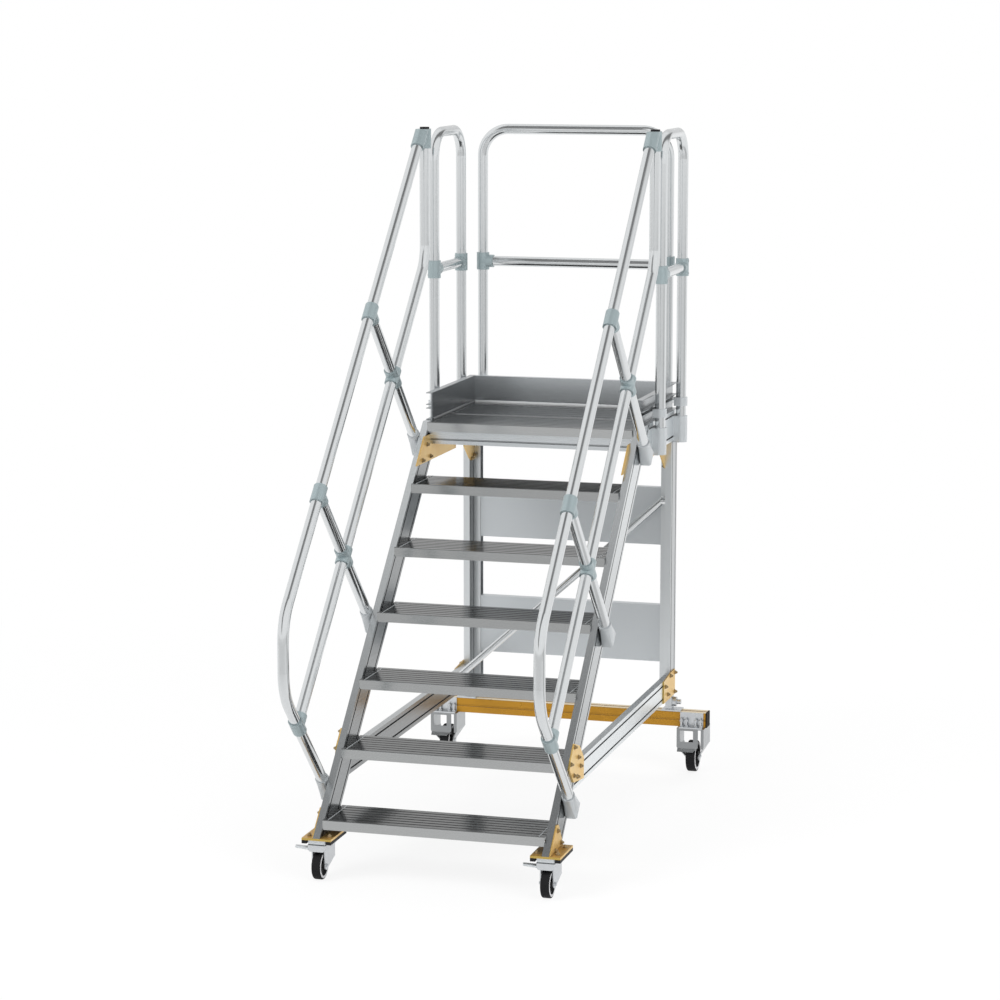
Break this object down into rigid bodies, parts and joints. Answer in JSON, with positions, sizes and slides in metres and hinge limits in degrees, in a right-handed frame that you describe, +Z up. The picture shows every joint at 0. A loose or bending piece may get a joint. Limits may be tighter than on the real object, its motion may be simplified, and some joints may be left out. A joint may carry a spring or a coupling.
{
  "type": "mobile platform stairs",
  "caption": "Aluminium mobile stairs at 45 degrees with ribbed treads, tube handrails, a guarded platform and castors, the front ones swivelling.",
  "frame": {"origin": "on the floor, at the middle of the length and the width", "axes": "+Z up, the stairs are climbed towards +Y, +X is the climber's right"},
  "size_m": [1.146, 2.219, 2.572],
  "materials": {
    "frame_profile": "satin",
    "tread_profile": "satin",
    "kick_profile": "satin",
    "tube": "polished",
    "casting": "satin",
    "panel": "satin",
    "gold_plate": "satin",
    "cross_beam": "satin",
    "zinc": "satin",
    "black_plastic": "matte",
    "tyre": "matte",
    "rim": "satin"
  },
  "bodies": {
    "frame": {"base_beams": "frame_profile", "castor_mount_plates": "gold_plate", "castor_pads": "black_plastic", "cross_beam_caps": "black_plastic", "diagonal_tie": "tube", "foot_brackets": "zinc", "front_castor_plates": "zinc", "guard_junctions": "casting", "guard_leg_clamps": "casting", "guard_loop_left": "tube", "guard_loop_right": "tube", "guard_mid_rails": "tube", "guard_sockets": "casting", "gussets_base": "gold_plate", "gussets_platform": "gold_plate", "gussets_post_tops": "gold_plate", "handrail_left": "tube", "handrail_right": "tube", "kick_plate_left": "kick_profile", "kick_plate_rear": "kick_profile", "kick_plate_right": "kick_profile", "knee_rail_left": "tube", "knee_rail_right": "tube", "platform_cross_beams": "frame_profile", "platform_deck": "tread_profile", "platform_nosing": "tread_profile", "platform_side_beams": "frame_profile", "rail_brackets": "casting", "rail_end_plugs": "black_plastic", "rail_junctions_left": "casting", "rail_junctions_right": "casting", "rail_struts": "tube", "rear_castor_brackets": "zinc", "rear_castor_housings": "zinc", "rear_cross_beam": "cross_beam", "rear_guard_hoop": "tube", "rear_panel_lower": "panel", "rear_panel_upper": "panel", "rear_posts": "frame_profile", "stringers": "frame_profile", "tread_1": "tread_profile", "tread_2": "tread_profile", "tread_3": "tread_profile", "tread_4": "tread_profile", "tread_5": "tread_profile", "tread_6": "tread_profile"},
    "front_swivel_left": {"front_fork_left": "zinc"},
    "front_wheel_left": {"front_tyre_left": "tyre", "front_rim_left": "rim"},
    "rear_wheel_left": {"rear_tyre_left": "tyre", "rear_rim_left": "rim"},
    "front_swivel_right": {"front_fork_right": "zinc"},
    "front_wheel_right": {"front_tyre_right": "tyre", "front_rim_right": "rim"},
    "rear_wheel_right": {"rear_tyre_right": "tyre", "rear_rim_right": "rim"}
  },
  "joints": [
    {"name": "front_swivel_left", "type": "hinge", "parent": "frame", "child": "front_swivel_left", "pos_m": [-0.4145, -0.79278, 0.126], "axis": [0, 0, 1], "continuous": true},
    {"name": "front_wheel_spin_left", "type": "hinge", "parent": "front_swivel_left", "child": "front_wheel_left", "pos_m": [-0.4145, -0.83878, 0.05], "axis": [1, 0, 0], "continuous": true},
    {"name": "rear_wheel_spin_left", "type": "hinge", "parent": "frame", "child": "rear_wheel_left", "pos_m": [-0.513, 1.0235, 0.0625], "axis": [1, 0, 0], "continuous": true},
    {"name": "front_swivel_right", "type": "hinge", "parent": "frame", "child": "front_swivel_right", "pos_m": [0.4145, -0.79278, 0.126], "axis": [0, 0, 1], "continuous": true},
    {"name": "front_wheel_spin_right", "type": "hinge", "parent": "front_swivel_right", "child": "front_wheel_right", "pos_m": [0.4145, -0.83878, 0.05], "axis": [1, 0, 0], "continuous": true},
    {"name": "rear_wheel_spin_right", "type": "hinge", "parent": "frame", "child": "rear_wheel_right", "pos_m": [0.513, 1.0235, 0.0625], "axis": [1, 0, 0], "continuous": true}
  ]
}
